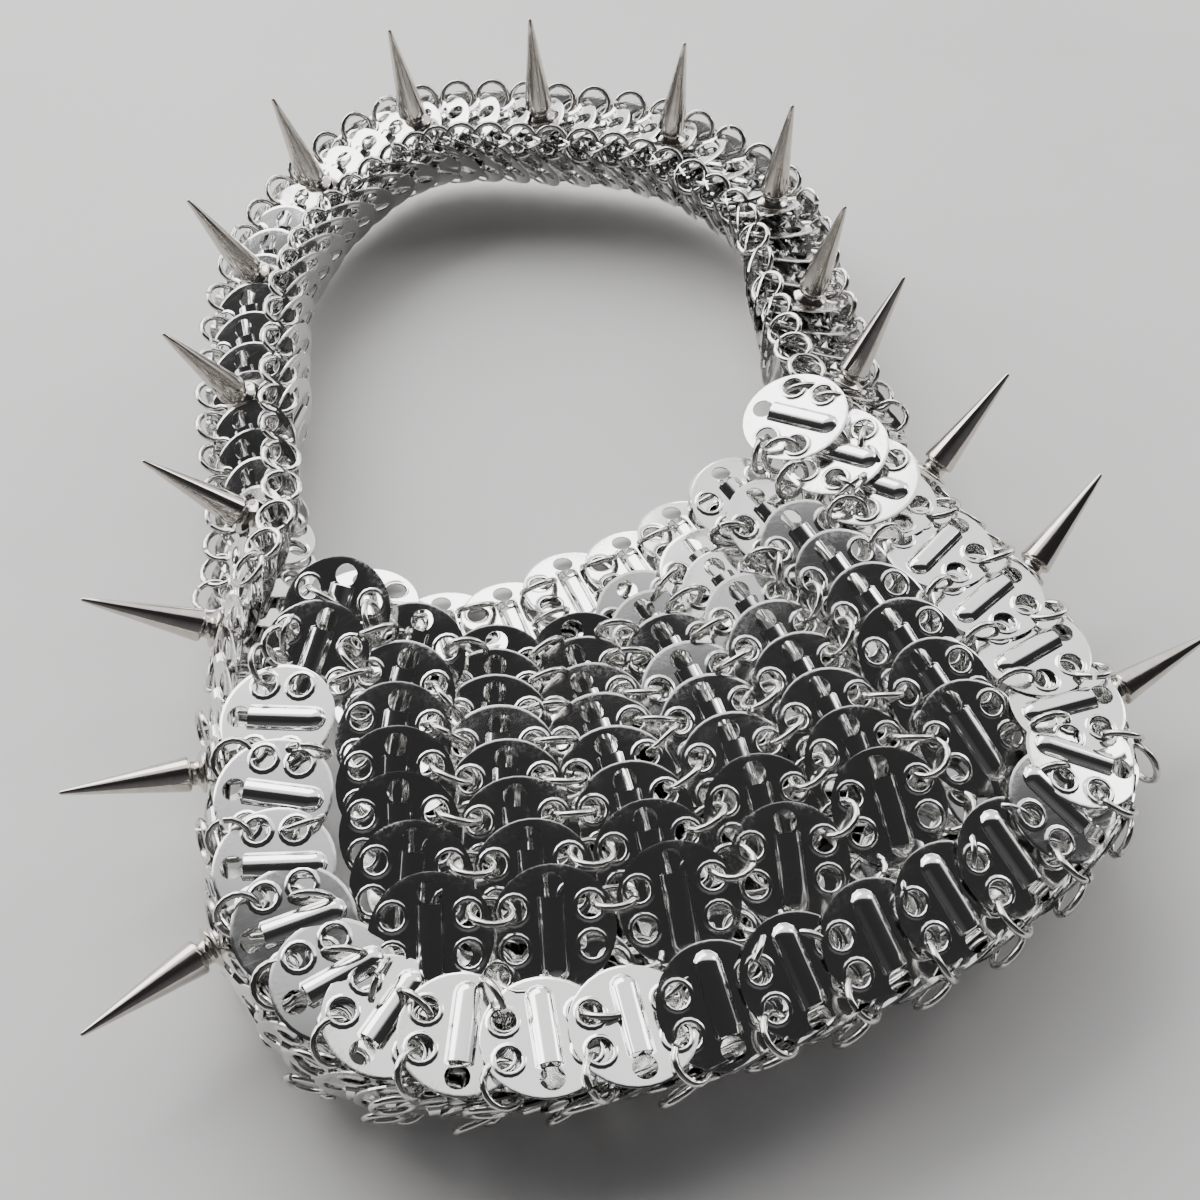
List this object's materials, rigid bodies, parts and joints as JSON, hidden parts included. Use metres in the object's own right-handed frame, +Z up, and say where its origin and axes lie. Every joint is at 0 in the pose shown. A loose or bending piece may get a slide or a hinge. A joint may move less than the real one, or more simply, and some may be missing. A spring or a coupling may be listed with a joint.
{
  "type": "disc mesh purse",
  "caption": "Purse of linked round metal discs with a loop handle and cone spikes, lying on its back with an open mouth.",
  "frame": {"origin": "on the surface that the purse lies on, under the middle of its bounding box", "axes": "+Z up from the surface, +Y from the bottom of the bag towards the handle, +X to the right seen from above"},
  "size_m": [0.3108, 0.353, 0.066],
  "materials": {
    "discs": "polished, lightly brushed",
    "spikes": "polished, warm grey"
  },
  "bodies": {
    "root": {"gusset_band": "discs", "front_rim": "discs", "back_rim": "discs", "handle_band": "discs", "handle_inner_side": "discs", "handle_outer_side": "discs", "front_panel": "discs", "back_panel": "discs", "spike_01": "spikes", "spike_02": "spikes", "spike_03": "spikes", "spike_04": "spikes", "spike_05": "spikes", "spike_06": "spikes", "spike_07": "spikes", "spike_08": "spikes", "spike_09": "spikes", "spike_10": "spikes", "spike_11": "spikes", "spike_12": "spikes", "spike_13": "spikes", "spike_14": "spikes", "spike_15": "spikes", "spike_16": "spikes"}
  },
  "joints": []
}
